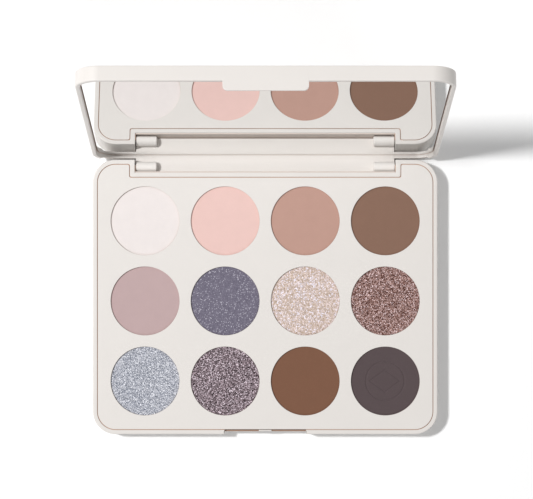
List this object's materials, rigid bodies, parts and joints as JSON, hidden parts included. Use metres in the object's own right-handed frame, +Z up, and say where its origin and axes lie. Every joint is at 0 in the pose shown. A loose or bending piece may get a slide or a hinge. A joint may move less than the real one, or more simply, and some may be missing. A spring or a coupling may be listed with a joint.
{
  "type": "eyeshadow palette",
  "caption": "Slim rectangular eyeshadow palette with round pressed shades in a flush tray and a hinged lid that holds a full-size mirror.",
  "frame": {"origin": "centre of the base's flat underside", "axes": "+Z up out of the base, +X along the long side to the user's right, +Y from the front latch towards the hinge"},
  "size_m": [0.1326, 0.1344, 0.1054],
  "materials": {
    "case_plastic": "cream moulded plastic with a soft satin surface",
    "tray_plastic": "cream moulded plastic, satin, same tone as the case",
    "pan_tin": "thin bright tinplate",
    "hot_melt": "set drop of hot-melt glue",
    "pin_steel": "plain drawn steel pin",
    "mirror_glass": "silvered glass mirror",
    "foam_tape": "white double-sided foam tape",
    "shade_r1c1": "ivory, matte pressed powder",
    "shade_r1c2": "peach pink, matte pressed powder",
    "shade_r1c3": "rosy tan, matte pressed powder",
    "shade_r1c4": "cocoa brown, matte pressed powder",
    "shade_r2c1": "dusty mauve, satin pressed powder",
    "shade_r2c2": "slate, pressed powder with fine sparkle",
    "shade_r2c3": "champagne, pressed shimmer with white and lilac flakes",
    "shade_r2c4": "red brown, pressed glitter with pink sparkle",
    "shade_r3c1": "silver blue, pressed metallic shimmer",
    "shade_r3c2": "grey mauve, pressed glitter with dark and lilac grains",
    "shade_r3c3": "chestnut, matte pressed powder",
    "shade_r3c4": "dark plum grey, matte pressed powder with a plain raised motif"
  },
  "bodies": {
    "base": {"base_shell": "case_plastic", "pan_tray": "tray_plastic", "pan_r1c1": "pan_tin", "powder_r1c1": "shade_r1c1", "pan_glue_r1c1": "hot_melt", "pan_r1c2": "pan_tin", "powder_r1c2": "shade_r1c2", "pan_glue_r1c2": "hot_melt", "pan_r1c3": "pan_tin", "powder_r1c3": "shade_r1c3", "pan_glue_r1c3": "hot_melt", "pan_r1c4": "pan_tin", "powder_r1c4": "shade_r1c4", "pan_glue_r1c4": "hot_melt", "pan_r2c1": "pan_tin", "powder_r2c1": "shade_r2c1", "pan_glue_r2c1": "hot_melt", "pan_r2c2": "pan_tin", "powder_r2c2": "shade_r2c2", "pan_glue_r2c2": "hot_melt", "pan_r2c3": "pan_tin", "powder_r2c3": "shade_r2c3", "pan_glue_r2c3": "hot_melt", "pan_r2c4": "pan_tin", "powder_r2c4": "shade_r2c4", "pan_glue_r2c4": "hot_melt", "pan_r3c1": "pan_tin", "powder_r3c1": "shade_r3c1", "pan_glue_r3c1": "hot_melt", "pan_r3c2": "pan_tin", "powder_r3c2": "shade_r3c2", "pan_glue_r3c2": "hot_melt", "pan_r3c3": "pan_tin", "powder_r3c3": "shade_r3c3", "pan_glue_r3c3": "hot_melt", "pan_r3c4": "pan_tin", "powder_r3c4": "shade_r3c4", "pan_glue_r3c4": "hot_melt", "hinge_pin_left": "pin_steel", "hinge_pin_right": "pin_steel"},
    "lid": {"lid_shell": "case_plastic", "mirror": "mirror_glass", "mirror_tape": "foam_tape"}
  },
  "joints": [
    {"name": "lid_hinge", "type": "hinge", "parent": "base", "child": "lid", "pos_m": [0, 0.05009, 0.00509], "axis": [1, 0, 0], "range_deg": [0, 103]}
  ]
}
